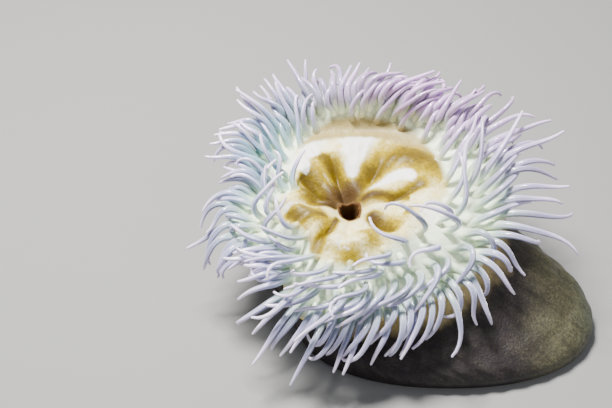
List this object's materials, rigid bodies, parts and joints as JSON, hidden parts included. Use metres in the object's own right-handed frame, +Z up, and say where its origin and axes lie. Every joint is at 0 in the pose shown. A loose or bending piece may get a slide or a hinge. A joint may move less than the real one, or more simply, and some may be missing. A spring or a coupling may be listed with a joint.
{
  "type": "sea anemone",
  "caption": "Large stout sea anemone standing open on its foot, with a leaning column, a folded oral disc round the mouth and a dense crown of curling tapered tentacles.",
  "frame": {"origin": "middle of the foot's flat underside", "axes": "+Z up, away from what the animal stands on; -Y the front, where the crown hangs low; +X the side that the crown leans away from, where the foot and column stand clear of it"},
  "size_m": [0.2535, 0.1995, 0.1134],
  "materials": {
    "pedal_skin": "smooth wet flesh, grey olive",
    "column_skin": "smooth wet flesh, mottled beige to grey olive with fine wrinkles",
    "disc_skin": "soft wet flesh, cream with olive brown streaks from the mouth",
    "lip_skin": "soft wet flesh, ochre to dark brown, pleated",
    "tentacle_skin": "translucent wet flesh, pale mint at the root to white lilac at the tip"
  },
  "bodies": {
    "root": {"column": "column_skin", "crown_01": "tentacle_skin", "crown_02": "tentacle_skin", "crown_03": "tentacle_skin", "crown_04": "tentacle_skin", "crown_05": "tentacle_skin", "crown_06": "tentacle_skin", "crown_07": "tentacle_skin", "crown_08": "tentacle_skin", "crown_09": "tentacle_skin", "crown_10": "tentacle_skin", "crown_11": "tentacle_skin", "crown_12": "tentacle_skin", "lips_1": "lip_skin", "lips_2": "lip_skin", "lips_3": "lip_skin", "lips_4": "lip_skin", "lips_5": "lip_skin", "lips_6": "lip_skin", "oral_disc_1": "disc_skin", "oral_disc_2": "disc_skin", "oral_disc_3": "disc_skin", "oral_disc_4": "disc_skin", "pedal_disc": "pedal_skin", "throat_floor": "lip_skin"}
  },
  "joints": []
}
